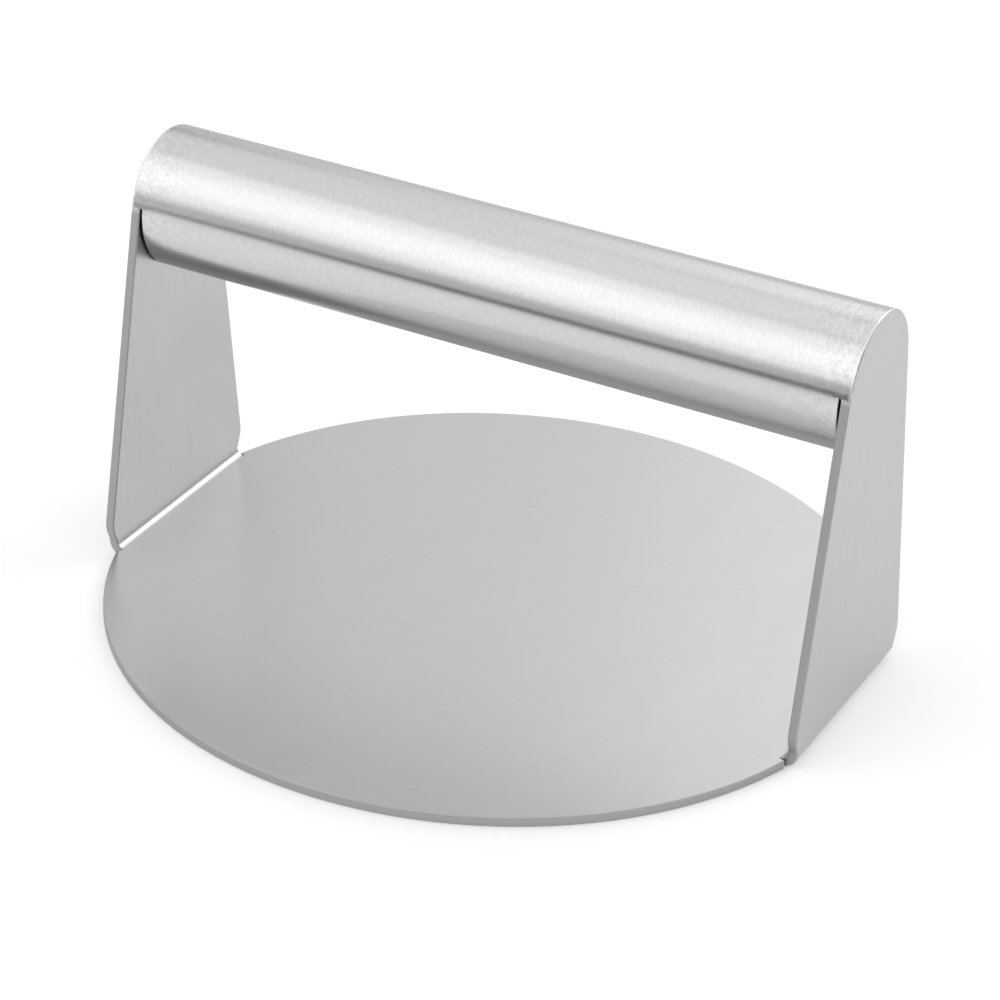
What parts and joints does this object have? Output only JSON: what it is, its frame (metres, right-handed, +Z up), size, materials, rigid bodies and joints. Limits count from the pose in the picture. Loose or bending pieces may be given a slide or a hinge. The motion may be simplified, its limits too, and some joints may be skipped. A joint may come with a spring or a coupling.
{
  "type": "burger press",
  "caption": "Round flat stainless burger press with two folded-up ears and a horizontal tube handle welded between them, for flattening patties on a griddle.",
  "frame": {"origin": "middle of the plate's flat underside, on the surface that it rests on", "axes": "+Z up out of the plate, +X along the handle from the left ear to the right ear"},
  "size_m": [0.1372, 0.14, 0.0768],
  "materials": {
    "press_plate_steel": "satin stainless sheet",
    "handle_tube_steel": "belt-ground stainless tube",
    "ground_weld_steel": "weld ground flush and brushed"
  },
  "bodies": {
    "root": {"press_plate": "press_plate_steel", "handle_tube": "handle_tube_steel", "left_handle_weld": "ground_weld_steel", "right_handle_weld": "ground_weld_steel"}
  },
  "joints": []
}
